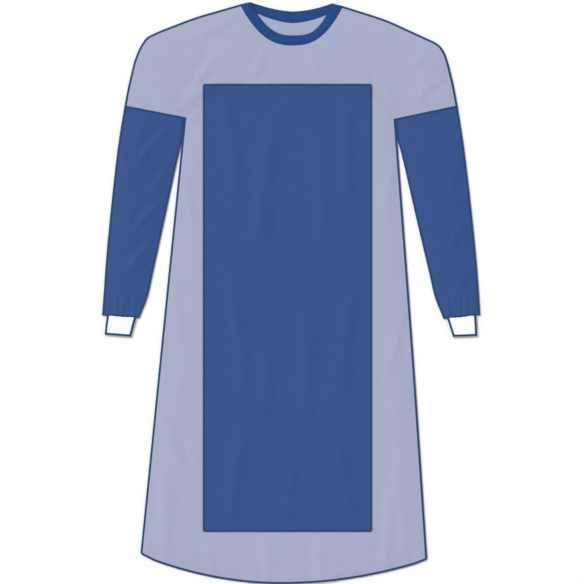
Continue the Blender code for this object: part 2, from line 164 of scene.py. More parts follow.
# Finer creases: a ridge with a trough on its left, bowed to its left and fading at both ends
Crease = namedtuple("Crease", "x0 y0 x1 y1 bow half_width height")
FRONT_CREASES = table(
    Crease,
    (-236, 385, -122, 456, 7, 9, 1.3),
    (-232, 398, -158, 520, -8, 8, 1),
    (-240, 352, -188, 372, 3, 7, 0.7),
    (234, 380, 118, 450, -7, 9, 1.2),
    (228, 392, 166, 505, 7, 8, 0.9),
    (-326, 470, -246, 398, 6, 8, 0.9),
    (-300, 528, -236, 486, -4, 9, 0.7),
    (328, 462, 258, 400, -5, 8, 0.8),
    (292, 520, 240, 470, 4, 9, 0.7),
    (-110, 586, -206, 540, 5, 8, 0.8),
    (114, 580, 214, 538, -5, 9, 0.8),
    (-56, 524, -82, 446, 3, 8, 0.8),
    (42, 516, 58, 446, -3, 8, 0.7),
    (-240, 300, -204, 96, 5, 9, 0.9),
    (-256, 60, -212, -150, -7, 10, 1),
    (-292, -210, -224, -424, 9, 11, 1.1),
    (-250, -640, -264, -310, 8, 11, 1.3),
    (-150, -655, -180, -490, 4, 10, 1),
    (-44, -660, -62, -480, -5, 12, 1.1),
    (72, -655, 56, -490, 4, 11, 1),
    (186, -645, 206, -360, -8, 11, 1.3),
    (246, -600, 226, -290, 7, 10, 0.9),
    (228, 310, 194, 130, -6, 9, 0.9),
    (240, 20, 194, -190, 8, 10, 1),
    (-152, 455, -112, 150, 10, 13, 1.3),
    (-26, 400, -58, 30, -14, 16, 1.3),
    (122, 440, 134, 130, -9, 13, 1.2),
    (46, 330, 66, 60, 8, 14, 1),
    (-144, 80, -98, -270, 12, 15, 1.4),
    (32, 10, 6, -350, 14, 16, 1.3),
    (140, 60, 108, -270, -11, 14, 1.3),
    (-40, -90, -58, -330, -8, 13, 0.9),
    (-92, -260, -128, -520, -8, 13, 1.2),
    (88, -280, 126, -520, 8, 13, 1.2),
    (0, -330, -20, -530, 6, 13, 0.9),
)
BACK_CREASES = table(
    Crease,
    (-226, 380, -120, 470, 6, 9, 0.6),
    (224, 372, 130, 455, -6, 9, 0.6),
    (-150, 430, -176, 120, 9, 13, 0.6),
    (150, 410, 172, 90, -8, 13, 0.6),
    (-40, 500, -24, 170, 8, 14, 0.5),
    (-190, 60, -226, -300, -9, 14, 0.7),
    (178, 20, 214, -320, 9, 14, 0.7),
    (24, 60, 6, -310, -8, 15, 0.5),
    (-120, -60, -148, -420, 10, 14, 0.6),
    (122, -80, 140, -440, -10, 14, 0.6),
    (-210, -340, -236, -560, 6, 11, 0.6),
    (206, -350, 224, -560, -6, 11, 0.6),
)
SLEEVE_CREASES = table(
    Crease,
    (246, 356, 326, 262, 7, 8, 1.1),
    (236, 318, 298, 208, -6, 8, 0.9),
    (356, 340, 330, 200, 6, 9, 0.9),
    (260, 200, 334, 120, 7, 8, 1.1),
    (386, 172, 330, 90, -6, 8, 0.9),
    (278, 116, 350, 36, 6, 8, 1),
    (394, 70, 350, 4, -5, 7, 0.8),
    (334, -62, 327, -6, 1.5, 3.4, 0.7),
    (345, -64, 341, 10, -1.5, 3.6, 0.8),
    (356, -64, 354, -2, 1.5, 3.2, 0.7),
    (367, -64, 369, 14, 1.5, 3.6, 0.8),
    (379, -62, 384, -4, -1.5, 3.4, 0.6),
)

# The trough beside a crease's ridge: its share of the height, and its distance in half widths
TROUGH_SHARE = 0.45
TROUGH_DISTANCE = 1.9

# The shares of its length where a crease is grown and starts to fade, and what is left at a sewn edge
CREASE_GROWN = 0.3
CREASE_FADING = 0.65
CREASE_AT_EDGE = 0.3

# The deepest that a crease dips in the backs
BACK_DIP = 0.2

# Waves with a wandering pitch: the gathers beside a seam, their reach, and the neck binding's ripple
Wave = namedtuple("Wave", "height pitch wander wander_length")
PUCKER = Wave(0.3, 23.0, 1.9, 61.0)
PUCKER_REACH = 9.0
BAND_RIPPLE = Wave(0.1, 17.0, 1.3, 41.0)

# Mesh spacing, and how near two corners merge
OUTLINE_STEP = 4.0
CLOTH_GRID = 5.2
GRID_CLEARANCE = 0.5
SLEEVE_STEP = 4.0
SLEEVE_COLUMNS = 50
CUFF_STEP = 2.2
POINTS_PER_RIB = 6
CORNER_POINTS = 8
ROUND_EDGE_POINTS = 4
NECK_STATIONS = 150
MERGE_DISTANCE = 1e-4

# How many points are measured at a time
CHUNK = 2000

# Overlock: its half width and height over the cloth, its stitches, and where the cloth ends inside it
THREAD_HALF_WIDTH = 2.25
THREAD_PROUD = 0.42
STITCH_PITCH = 2.6
STITCH_DEPTH = 0.22
STITCH_WAIST = 0.05
STITCH_SLANT = 1.1
STATIONS_PER_STITCH = 4
EDGE_INSET = 1.1
SHARPEST_INSET = 0.5

# Section of a strip of overlock: the share of its half width, and how far from its upper or lower face
STRIP_SECTION = (
    (-1.0, "upper", 0.34),
    (-0.9, "upper", 0.12),
    (-0.45, "upper", 0.0),
    (0.45, "upper", 0.0),
    (0.9, "upper", 0.12),
    (1.0, "upper", 0.34),
    (1.0, "lower", 0.3),
    (0.8, "lower", 0.0),
    (-0.8, "lower", 0.0),
    (-1.0, "lower", 0.3),
)

# Sleeves and cuffs: low faces, round edges, how far their open ends stop short, and the ribs underneath
SLEEVE_LOW = 0.3
CUFF_LOW = 0.15
TUBE_ROUNDING = 1.5
OPEN_END_INSET = 0.9
UNDER_RIB_SHARE = 0.6

# Thread: its low face along and across a tube, and how far it stands over the backs, ribs and wrist
TUBE_THREAD_LOW = 0.05
CROSS_THREAD_LOW = 0.1
BACK_THREAD_PROUD = 0.15
RIB_CLEARANCE = 0.1
WRIST_OVERHANG = 1.1

# The reinforcement's corners
PATCH_CORNER_RADIUS = 2.8

# Between these heights the sleeve's underarm thread moves over to the side seam's
UNDERARM_CLOSING = 1.1
UNDERARM_OPEN_Y = 298.0
UNDERARM_CLOSED_Y = 324.0

# Section of a neck band: how far across from its seam to its free edge, and how high in its thickness
BAND_SECTION = (
    (-0.055, 0.64), (-0.04, 0.86), (0.02, 0.97), (0.08, 0.97), (0.115, 0.86),
    (0.15, 0.98), (0.3, 1.05), (0.5, 1.08), (0.7, 1.06), (0.84, 0.98),
    (0.875, 0.86), (0.91, 0.96), (0.97, 0.84), (1.0, 0.5), (0.97, 0.14),
    (0.9, 0.04), (0.5, 0.04), (0.08, 0.04), (0.02, 0.1), (0.0, 0.62),
)

# The band ripples above this height in its section
RIPPLE_FLOOR = 0.9

# Single stitches along the neck binding, in the section's two grooves
STITCH_LINES = (0.115, 0.875)
STITCH_HEIGHT = 0.95
TOPSTITCH_PITCH = 3.2
TOPSTITCH_STATIONS = 6
TOPSTITCH_RADII = (0.1, 0.26, 0.3, 0.26, 0.1)
TOPSTITCH_SIDES = 6

# The range in which most values of a noise lie
NOISE_RANGE = (0.3, 0.7)

# Base colours in sRGB, a little darker than drawn, because the sheen and the light add to them
LAVENDER = (163, 169, 195)
BLUE = (41, 75, 134)
NAVY = (24, 68, 126)
THREAD_NAVY = (27, 65, 109)
WHITE = (253, 253, 251)
FLOOR = (250, 250, 250)

# The floor, in metres
FLOOR_REACH = 20.0
FLOOR_HEIGHT = -0.0003

# Light: an even surround, and a soft key from the upper left
SURROUND_STRENGTH = 0.6
KEY_STRENGTH = 2.3
KEY_SOFTNESS = 20.0
KEY_DIRECTION = (0.62, -0.62, -0.68)

# Camera: straight above, at the drawing's own framing
VIEW_WIDTH = 1226.4
VIEW_MIDDLE = (2.1, 3.6)
CAMERA_HEIGHT = 8000.0
CAMERA_REACH = 100000.0
SENSOR_WIDTH = 36.0


def linear(channel):
    """From an sRGB level of 255 to linear light."""
    value = channel / 255
    return value / 12.92 if value <= 0.04045 else ((value + 0.055) / 1.055) ** 2.4


def linear_colour(colour, level=1.0):
    return (*[linear(channel) * level for channel in colour], 1.0)


def ease(start, end, value):
    """0 at start, 1 at end, and smooth in between."""
    t = np.clip((value - start) / (end - start), 0.0, 1.0)
    return t * t * (3 - 2 * t)


def smooth_curve(points, step):
    """Points about a step apart on a centripetal Catmull-Rom spline through the given ones."""
    points = [np.array(p, float) for p in points]
    points = [2 * points[0] - points[1], *points, 2 * points[-1] - points[-2]]
    made = [points[1]]
    for p0, p1, p2, p3 in zip(points, points[1:], points[2:], points[3:]):
        k0, k1 = 0.0, math.sqrt(np.linalg.norm(p1 - p0))
        k2 = k1 + math.sqrt(np.linalg.norm(p2 - p1))
        k3 = k2 + math.sqrt(np.linalg.norm(p3 - p2))
        count = max(1, round(np.linalg.norm(p2 - p1) / step))
        for k in np.linspace(k1, k2, count + 1)[1:]:
            a1 = (k1 - k) / (k1 - k0) * p0 + (k - k0) / (k1 - k0) * p1
            a2 = (k2 - k) / (k2 - k1) * p1 + (k - k1) / (k2 - k1) * p2
            a3 = (k3 - k) / (k3 - k2) * p2 + (k - k2) / (k3 - k2) * p3
            b1 = (k2 - k) / (k2 - k0) * a1 + (k - k0) / (k2 - k0) * a2
            b2 = (k3 - k) / (k3 - k1) * a2 + (k - k1) / (k3 - k1) * a3
            made.append((k2 - k) / (k2 - k1) * b1 + (k - k1) / (k2 - k1) * b2)
    return np.array(made)


def straight(start, end, step=OUTLINE_STEP):
    count = max(1, round(math.dist(start, end) / step))
    return np.linspace(start, end, count + 1)


def join_runs(*runs):
    """One run of points from several that meet end to end."""
    joined = [runs[0]]
    for run in runs[1:]:
        joined.append(run[1:] if np.allclose(run[0], joined[-1][-1]) else run)
    return np.concatenate(joined)


def distance_along(run):
    """How far each point of a run is from its start."""
    return np.concatenate([[0.0], np.cumsum(np.linalg.norm(np.diff(run, axis=0), axis=1))])


def spread(run, count):
    """The same run as a number of evenly spaced points."""
    along = distance_along(run)
    places = np.linspace(0.0, along[-1], count)
    return np.column_stack([np.interp(places, along, run[:, i]) for i in range(run.shape[1])])


def evenly(run, step):
    return spread(run, max(2, round(distance_along(run)[-1] / step) + 1))


def neck_point(name, share):
    """A point of a neck curve: share is -1 at its right end, 0 at its low point and 1 at its left end."""
    curve = NECK_CURVES[name]
    side = "right" if share < 0 else "left"
    power = curve.power_right if share < 0 else curve.power_left
    end_x, end_y = curve.ends[side]
    x = NECK_MIDDLE_X + abs(share) * (end_x - NECK_MIDDLE_X)
    y = curve.low_y + (end_y - curve.low_y) * abs(share) ** power
    return x, y


def neck_share(name, x):
    """Where on a neck curve that x lies."""
    side = "right" if x < NECK_MIDDLE_X else "left"
    end_x = NECK_CURVES[name].ends[side][0]
    return SIGN[side] * (x - NECK_MIDDLE_X) / (end_x - NECK_MIDDLE_X)


def neck_run(name, first_x=None, last_x=None):
    """Evenly spaced points of a neck curve, from end to end unless it starts or stops at a given x."""
    first = -math.pi / 2 if first_x is None else math.asin(neck_share(name, first_x))
    last = math.pi / 2 if last_x is None else math.asin(neck_share(name, last_x))
    points = [neck_point(name, math.sin(angle)) for angle in np.linspace(first, last, NECK_STATIONS)]
    return spread(np.array(points), NECK_STATIONS)


def hem_y(x):
    """The hem rises as a power curve on each side of its low point, and runs straight to its tips."""
    side = "right" if x < HEM_LOW_X else "left"
    corner_x, corner_y = SIDE_SEAM[side].hem_corner
    tip_x, tip_y = HEM_TIP[side]
    join_x = tip_x - SIGN[side] * HEM_TIP_REACH
    straight_share = max(0.0, SIGN[side] * (x - join_x) / HEM_TIP_REACH)
    curve_x = join_x if straight_share else x
    curve_share = (curve_x - HEM_LOW_X) / (corner_x - HEM_LOW_X)
    curve_y = HEM_LOW_Y + (corner_y - HEM_LOW_Y) * curve_share**HEM_POWER
    return curve_y + (tip_y - curve_y) * straight_share


def hem_run(first_x=None, last_x=None):
    """Points of the hem, from tip to tip unless it starts or stops at a given x."""
    first_x = corner_run("right")[-1][0] if first_x is None else first_x
    last_x = corner_run("left")[-1][0] if last_x is None else last_x
    count = round(abs(last_x - first_x) / OUTLINE_STEP)
    return np.array([(x, hem_y(x)) for x in np.linspace(first_x, last_x, count + 1)])


def shoulder_run(side):
    """Neck side, shoulder and overarm, down to the armhole seam."""
    points = [NECK_SIDE[side]]
    points += [(SIGN[side] * x, y_right if side == "right" else y_left) for x, y_right, y_left in SHOULDER]
    return smooth_curve(points, OUTLINE_STEP)


def corner_run(side):
    """The rounded tip between the side seam and the hem."""
    tip, halfway = np.array(HEM_TIP[side]), np.array(SIDE_SEAM[side].halfway)
    before = tip + (halfway - tip) / np.linalg.norm(halfway - tip) * HEM_TIP_ROUNDING
    after_x = tip[0] - SIGN[side] * HEM_TIP_ROUNDING
    after = np.array((after_x, hem_y(after_x)))
    turns = np.linspace(0.0, 1.0, CORNER_POINTS)[:, None]
    return (1 - turns) ** 2 * before + 2 * turns * (1 - turns) * tip + turns**2 * after


def side_seam_run(side):
    seam, corner = SIDE_SEAM[side], corner_run(side)
    return join_runs(smooth_curve([seam.underarm, seam.halfway, corner[0]], OUTLINE_STEP), corner)


def side_run(side):
    """All of one side of the body, from the neck to the hem's corner."""
    shoulder, seam = shoulder_run(side), side_seam_run(side)
    return join_runs(shoulder, straight(shoulder[-1], seam[0]), seam)


def front_outline():
    """Anticlockwise: down the right side, along the hem, up the left side and round the neck."""
    left, neck = side_run("left")[::-1], neck_run("front_seam")[::-1]
    return join_runs(side_run("right"), hem_run(), left, neck)[:-1]


def left_back_outline():
    hem = hem_run(first_x=BACK_EDGE_X["left"])
    neck = neck_run("back_seam", first_x=BACK_EDGE_X["left"])[::-1]
    return join_runs(hem, side_run("left")[::-1], neck, straight(neck[-1], hem[0]))[:-1]


def right_back_outline():
    hem = hem_run(last_x=BACK_EDGE_X["right"])
    neck = neck_run("back_seam", last_x=BACK_EDGE_X["right"])[::-1]
    return join_runs(side_run("right"), hem, straight(hem[-1], neck[0]), neck)[:-1]


def segments(run):
    return np.stack([run[:-1], run[1:]], axis=1)


def closed_segments(outline):
    return np.stack([outline, np.roll(outline, -1, axis=0)], axis=1)


def distance_to(points, lines):
    """How far each point is from the nearest of the line segments."""
    starts, ends = lines[None, :, 0], lines[None, :, 1]
    along = ends - starts
    squared = (along**2).sum(2)
    found = []
    for first in range(0, len(points), CHUNK):
        offset = points[first : first + CHUNK, None] - starts
        t = np.clip((offset * along).sum(2) / squared, 0, 1)
        found.append(np.linalg.norm(offset - t[:, :, None] * along, axis=2).min(axis=1))
    return np.concatenate(found)


def inside(points, outline):
    """Whether each point is inside a closed outline, by counting the edges to its right."""
    x0, y0 = outline[None, :, 0], outline[None, :, 1]
    x1, y1 = np.roll(x0, -1, axis=1), np.roll(y0, -1, axis=1)
    rise = np.where(y1 == y0, 1.0, y1 - y0)
    found = []
    for first in range(0, len(points), CHUNK):
        x, y = points[first : first + CHUNK, 0, None], points[first : first + CHUNK, 1, None]
        spans = (y0 > y) != (y1 > y)
        found.append((spans & (x < (x1 - x0) * (y - y0) / rise + x0)).sum(axis=1) % 2 == 1)
    return np.concatenate(found)


def inset(outline, distance):
    """An anticlockwise outline moved inwards, with its sharpest corners cut back."""
    before = outline - np.roll(outline, 1, axis=0)
    after = np.roll(outline, -1, axis=0) - outline
    middle = 0.0
    for side in (before, after):
        middle = middle + np.column_stack([-side[:, 1], side[:, 0]]) / np.linalg.norm(side, axis=1)[:, None]
    return outline + middle * distance * 2 / np.maximum((middle**2).sum(axis=1), SHARPEST_INSET)[:, None]


def fold_height(points, folds):
    """The sum of the solids' soft folds at each point."""
    total = np.zeros(len(points))
    for fold in folds:
        line = np.array([[(fold.x0, fold.y0), (fold.x1, fold.y1)]])
        total += fold.height * np.exp(-((distance_to(points, line) / fold.half_width) ** 2))
    return total


def crease_height(points, creases):
    """The sum of the fine creases at each point."""
    total = np.zeros(len(points))
    for crease in creases:
        start = np.array((crease.x0, crease.y0))
        along = np.array((crease.x1, crease.y1)) - start
        length = np.linalg.norm(along)
        t = (points - start) @ along / length**2
        sideways = (points - start) @ np.array((-along[1], along[0])) / length
        u = (sideways - crease.bow * 4 * t * (1 - t)) / crease.half_width
        profile = np.exp(-(u**2)) - TROUGH_SHARE * np.exp(-((u - TROUGH_DISTANCE) ** 2))
        total += crease.height * profile * ease(0.0, CREASE_GROWN, t) * ease(1.0, CREASE_FADING, t)
    return total


@functools.cache
def front_edges():
    """Every edge of the front, where it lies down on the backs."""
    runs = [run(side) for side in SIGN for run in (shoulder_run, side_seam_run)]
    runs += [hem_run(), neck_run("front_edge")]
    return np.concatenate([segments(evenly(run, 2 * OUTLINE_STEP)) for run in runs])


def patch_corners():
    (x0, x1), (y0, y1) = REINFORCEMENT_X, REINFORCEMENT_Y
    return np.array([(x0, y0), (x1, y0), (x1, y1), (x0, y1)])


@functools.cache
def stitched_edges():
    """The front's sewn edges: its outline, the armholes and the reinforcement."""
    armholes = np.array([(shoulder_run(side)[-1], SIDE_SEAM[side].underarm) for side in SIGN])
    return np.concatenate([front_edges(), closed_segments(patch_corners()), armholes])


def wave_height(wave, along):
    turns = along / wave.pitch
    return wave.height * np.sin(2 * math.pi * turns + wave.wander * np.sin(along / wave.wander_length))


def fine_height(points, creases, edges, rise):
    """Creases and the gathers beside sewn edges, both weaker where the cloth is held down."""
    gathers = wave_height(PUCKER, points.sum(axis=1)) * np.exp(-distance_to(points, edges) / PUCKER_REACH)
    return (creases + gathers) * (CREASE_AT_EDGE + (1 - CREASE_AT_EDGE) * rise)


def loose_share(points, edges):
    """0 at the edges that hold the cloth down, rising to 1 away from them."""
    return 1 - np.exp(-distance_to(points, edges) / LOFT_REACH)


def front_underside(points):
    """Underside of the front's solid, with the fine creases added."""
    rise = loose_share(points, front_edges())
    out_right, in_right, in_left, out_left = LAP_RISE_X
    lapped = ease(out_right, in_right, points[:, 0]) * (1 - ease(in_left, out_left, points[:, 0]))
    resting = (CLOTH + SEAM_GAP) * (1 + lapped)
    soft = resting + (LOFT - resting + fold_height(points, FRONT_FOLDS)) * rise
    return soft + fine_height(points, crease_height(points, FRONT_CREASES), stitched_edges(), rise)


def front_top(points):
    return front_underside(points) + CLOTH


def patch_top(points):
    return front_top(points) + SEAM_GAP + CLOTH


def back_crease(points):
    """Creases lift the backs off the surface, and fade out towards their edges."""
    return np.maximum(crease_height(points, BACK_CREASES), -BACK_DIP) * loose_share(points, front_edges())


def right_back_top(points):
    climb = (CLOTH + SEAM_GAP) * ease(CLIMB_START_X, CLIMB_END_X, points[:, 0])
    return CLOTH + climb + back_crease(points)


def left_back_top(points):
    return CLOTH + back_crease(points)


def grid_points(outline, step):
    """Staggered points inside an outline."""
    low, high = outline.min(axis=0), outline.max(axis=0)
    rows = []
    for i, y in enumerate(np.arange(low[1], high[1], step * math.sqrt(3) / 2)):
        xs = np.arange(low[0] + (i % 2) * step / 2, high[0], step)
        rows.append(np.column_stack([xs, np.full(len(xs), y)]))
    points = np.concatenate(rows)
    points = points[inside(points, outline)]
    return points[distance_to(points, closed_segments(outline)) > GRID_CLEARANCE * step]


def triangulate(outline, fill):
    """Triangles inside a closed outline, with corners at the fill points."""
    points = list(outline) + list(fill)
    edges = [(i, (i + 1) % len(outline)) for i in range(len(outline))]
    found, _, faces, *_ = delaunay_2d_cdt([Vector(p) for p in points], edges, [], 1, MERGE_DISTANCE)
    return np.array([tuple(p) for p in found]), [tuple(f) for f in faces]


def grid_faces(rows, columns, around=False):
    """Quads between the points of a grid stored row by row; around joins each row's end to its start."""
    faces = []
    for row in range(rows - 1):
        for column in range(columns if around else columns - 1):
            here = row * columns + column
            beside = row * columns + (column + 1) % columns
            faces.append((here, beside, beside + columns, here + columns))
    return faces


def make_mesh(name, points, faces):
    """A smooth mesh from points in millimetres, with its faces turned one way and its cut edges sharp."""
    mesh = bpy.data.meshes.new(name)
    mesh.from_pydata((np.array(points) * MM).tolist(), [], faces)
    work = bmesh.new()
    work.from_mesh(mesh)
    bmesh.ops.recalc_face_normals(work, faces=work.faces)
    for face in work.faces:
        face.smooth = True
    for edge in work.edges:
        edge.smooth = not edge.is_boundary
    work.to_mesh(mesh)
    work.free()
    return mesh


def add_piece(name, points, faces, material, node=None):
    """A piece of the object that rides on its one body, and stands for a node if one is given."""
    mesh = make_mesh(name, points, faces)
    mesh.materials.append(material)
    piece = bpy.data.objects.new(name, mesh)
    bpy.context.scene.collection.objects.link(piece)
    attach(piece, "root")
    if node:
        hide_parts(node)
    return piece


def thicken(piece, thickness, upward_face=False):
    """Gives an open surface its wall on the inner side."""
    if upward_face and piece.data.polygons[0].normal.z < 0:
        piece.data.flip_normals()
    wall = piece.modifiers.new("wall", "SOLIDIFY")
    wall.thickness = thickness * MM
    wall.offset = -1.0


def add_cloth(name, outline, top, material, node):
    """A panel of the body: a fine creased sheet whose upper face is at the solid's."""
    points, faces = triangulate(outline, grid_points(outline, CLOTH_GRID))
    piece = add_piece(name, np.column_stack([points, top(points)]), faces, material, node)
    thicken(piece, SHELL, upward_face=True)
    return piece


def patch_ranges(distance):
    """The reinforcement's range in x and in y, with its edges moved inwards."""
    return [(low + distance, high - distance) for low, high in (REINFORCEMENT_X, REINFORCEMENT_Y)]


def add_reinforcement(material):
    xs, ys = patch_ranges(EDGE_INSET)
    columns, rows = [round((high - low) / CLOTH_GRID) + 1 for low, high in (xs, ys)]
    points = np.array([(x, y) for y in np.linspace(*ys, rows) for x in np.linspace(*xs, columns)])
    shape = np.column_stack([points, patch_top(points)])
    faces = grid_faces(rows, columns)
    piece = add_piece("reinforcement_cloth", shape, faces, material, "reinforcement")
    thicken(piece, PATCH_SHELL, upward_face=True)
    return piece


def shortened(rows):
    """The rows of a tube, with its open end moved back inside its thread."""
    rows = rows.copy()
    rows[-1] += (rows[-2] - rows[-1]) * OPEN_END_INSET / np.linalg.norm(rows[-2, :2] - rows[-1, :2])
    return rows


def narrowed(rows, distance):
    """The rows of a tube with both its edges moved inwards."""
    outer, inner = rows[:, :2], rows[:, 2:]
    across = (inner - outer) / np.linalg.norm(inner - outer, axis=1)[:, None] * distance
    return np.column_stack([outer + across, inner - across])


def section_rows(side, sections):
    """A tube's sections, on their own side of the gown."""
    return np.array(sections) * (SIGN[side], 1, SIGN[side], 1)


@functools.cache
def sleeve_rows(side):
    """The outer and inner edge of a sleeve, from the armhole seam to the wrist, as matching rows."""
    shoulder_x, shoulder_y = shoulder_run(side)[-1]
    underarm_x, underarm_y = SIDE_SEAM[side].underarm
    underarm_x += SIGN[side] * UNDERARM_CLEARANCE
    first = (shoulder_x, shoulder_y - SEAM_GAP, underarm_x, underarm_y - SEAM_GAP)
    return smooth_curve([first, *section_rows(side, SLEEVE[side])], SLEEVE_STEP)


@functools.cache
def cuff_rows(side):
    return smooth_curve(section_rows(side, CUFF[side]), CUFF_STEP)


def tube_edges(rows):
    return np.concatenate([segments(rows[:, :2]), segments(rows[:, 2:])])


def sleeve_top(side, points):
    """Upper face of a sleeve, which rises from both its edges."""
    height = 2 * CLOTH + SEAM_GAP
    mirrored = points * np.array((SIGN[side], 1.0))
    edges = tube_edges(sleeve_rows(side))
    rise = loose_share(points, edges)
    loose = LOFT + CLOTH - height + fold_height(mirrored, SLEEVE_FOLDS)
    creases = crease_height(mirrored, SLEEVE_CREASES)
    return height + loose * rise + fine_height(points, creases, edges, rise)


def cuff_top(side, points):
    reach = distance_to(points, tube_edges(cuff_rows(side)))
    return 2 * KNIT + SEAM_GAP + CUFF_LOFT * (1 - np.exp(-reach / CUFF_LOFT_REACH))


def flat_ring(row, shares, top, relief, low):
    """Points round a flattened tube with round edges: along its underside and back along its upper face."""
    outer, inner = row[:2], row[2:]
    flat = outer + (inner - outer) * shares[:, None]
    reach = np.minimum(shares, 1 - shares) * np.linalg.norm(inner - outer)
    high = top(flat)
    middle = (high + low) / 2
    round_off = np.sqrt(1 - (1 - np.clip(reach / TUBE_ROUNDING, 0, 1)) ** 2)
    upper = middle + (high + relief - middle) * round_off
    lower = middle + (low + UNDER_RIB_SHARE * relief - middle) * round_off
    return np.concatenate([np.column_stack([flat, lower]), np.column_stack([flat, upper])[-2:0:-1]])


def edge_shares(width):
    """Shares across a sleeve: a few close together on each round edge and the rest even."""
    turn = (1 - np.cos(np.linspace(0, math.pi / 2, ROUND_EDGE_POINTS + 1)[:-1])) * TUBE_ROUNDING / width
    even = np.linspace(TUBE_ROUNDING / width, 1 - TUBE_ROUNDING / width, SLEEVE_COLUMNS)
    return np.concatenate([turn, even, 1 - turn[::-1]])


def add_tube(name, rings, material, node, wall):
    faces = grid_faces(len(rings), len(rings[0]), around=True)
    piece = add_piece(name, np.concatenate(rings), faces, material, node)
    thicken(piece, wall)
    return piece


def add_sleeve(side, material):
    top = functools.partial(sleeve_top, side)
    rings = []
    for row in shortened(narrowed(sleeve_rows(side), EDGE_INSET)):
        shares = edge_shares(math.dist(row[:2], row[2:]))
        rings.append(flat_ring(row, shares, top, 0.0, SLEEVE_LOW))
    return add_tube(f"sleeve_{side}_cloth", rings, material, f"sleeve_{side}", SHELL)


def add_cuff(side, material):
    """Rib-knit cuff with its ribs standing out on both faces."""
    top = functools.partial(cuff_top, side)
    shares = np.linspace(0.0, 1.0, RIBS * POINTS_PER_RIB + 1)
    ribs = RIB_HEIGHT * (0.5 - 0.5 * np.cos(2 * math.pi * RIBS * shares))
    rows = shortened(narrowed(cuff_rows(side), EDGE_INSET))
    rings = [flat_ring(row, shares, top, ribs, CUFF_LOW) for row in rows]
    return add_tube(f"cuff_{side}_knit", rings, material, f"cuff_{side}", KNIT_SHELL)


def add_neckband(node, seams, edges, underside, thickness, material):
    """A band from its seam to its free edge, with two stitched grooves, closed at both ends."""
    across, share = np.array(BAND_SECTION).T
    rows = []
    for seam, edge, place in zip(seams, edges, distance_along(seams)):
        points = seam + (edge - seam) * across[:, None]
        ripple = np.where(share > RIPPLE_FLOOR, wave_height(BAND_RIPPLE, place), 0.0)
        rows.append(np.column_stack([points, underside(points) + thickness * share + ripple]))
    faces = closed_tube(len(rows), len(BAND_SECTION))
    return add_piece(f"{node}_tape", np.concatenate(rows), faces, material, node)


def topstitches(line):
    """Single stitches along a line that has its height: the points and faces of each."""
    line = evenly(line, TOPSTITCH_PITCH / TOPSTITCH_STATIONS)
    across = unit_across(line[:, :2])
    angles = np.linspace(0, 2 * math.pi, TOPSTITCH_SIDES, endpoint=False)
    made = []
    for first in range(0, len(line) - TOPSTITCH_STATIONS, TOPSTITCH_STATIONS):
        rows = []
        for here, radius in enumerate(TOPSTITCH_RADII, first):
            flat = line[here, :2] + across[here] * (np.cos(angles) * radius)[:, None]
            rows.append(np.column_stack([flat, line[here, 2] + np.sin(angles) * radius]))
        made.append((np.concatenate(rows), closed_tube(len(rows), TOPSTITCH_SIDES)))
    return made


def closed_tube(rows, around):
    """Faces of a tube of points, with both its ends closed."""
    last = (rows - 1) * around
    ends = [tuple(range(around)), tuple(range(last, last + around))]
    return grid_faces(rows, around, around=True) + ends


def unit_across(run):
    """The direction across a run of points, to its left, at each point."""
    along = np.gradient(run, axis=0)
    along /= np.linalg.norm(along, axis=1)[:, None]
    return np.column_stack([-along[:, 1], along[:, 0]])


def strip(run, low, high):
    """Points and faces of one stretch of overlock along a middle line, in slanted stitches.

    low and high are functions that give the lower face, and the cloth that the thread lies on.
    """
    run = evenly(run, STITCH_PITCH / STATIONS_PER_STITCH)
    sideways = unit_across(run) * THREAD_HALF_WIDTH
    floor, left, right = low(run), high(run + sideways), high(run - sideways)
    phase = 2 * math.pi * np.arange(len(run)) / STATIONS_PER_STITCH
    rows = []
    for across, face, distance in STRIP_SECTION:
        dip = 0.5 - 0.5 * np.cos(phase + STITCH_SLANT * across)
        if face == "upper":
            cloth = (left + right) / 2 + (left - right) / 2 * across
            height = cloth + THREAD_PROUD - distance - STITCH_DEPTH * dip
        else:
            height = floor + distance
        reach = across * (1 - STITCH_WAIST * dip)
        rows.append(np.column_stack([run + sideways * reach[:, None], height]))
    points = np.stack(rows, axis=1).reshape(-1, 3)
    return points, closed_tube(len(run), len(STRIP_SECTION))


def add_thread(name, stretches, material):
    """Several stretches of thread as one piece."""
    points, faces, first = [], [], 0
    for stretch_points, stretch_faces in stretches:
        points.append(stretch_points)
        faces += [tuple(corner + first for corner in face) for face in stretch_faces]
        first += len(stretch_points)
    return add_piece(name, np.concatenate(points), faces, material)


def moved(run, distance):
    """A run of points moved sideways, to its left if distance is positive."""
    return run + unit_across(run) * distance


def level(value):
    return lambda points: np.full(len(points), value)


def raised(height, amount):
    return lambda points: height(points) + amount


def add_side_thread(side, material):
    """Overlock along the shoulder and overarm, and down the side seam."""
    inward = -SIGN[side] * THREAD_HALF_WIDTH
    runs = [moved(run(side), inward) for run in (shoulder_run, side_seam_run)]
    return add_thread(f"thread_side_{side}", [strip(run, level(0.0), front_top) for run in runs], material)


def add_front_hem_thread(material):
    run = moved(hem_run(), THREAD_HALF_WIDTH)
    return add_thread("thread_hem_front", [strip(run, front_underside, front_top)], material)


def add_back_thread(side, material):
    """Overlock along a back's hem and up its free edge."""
    top = left_back_top if side == "left" else right_back_top
    edge_x = BACK_EDGE_X[side]
    hem = moved(hem_run(), THREAD_HALF_WIDTH)
    hem = hem[SIGN[side] * (hem[:, 0] - edge_x) > 0]
    x = edge_x + SIGN[side] * THREAD_HALF_WIDTH
    neck_y = neck_point("back_seam", neck_share("back_seam", x))[1]
    edge = straight((x, hem_y(x) + 2 * THREAD_HALF_WIDTH), (x, neck_y))
    cloth = raised(top, BACK_THREAD_PROUD - THREAD_PROUD)
    stretches = [strip(run, raised(top, -CLOTH), cloth) for run in (hem, edge)]
    return add_thread(f"thread_back_{side}", stretches, material)


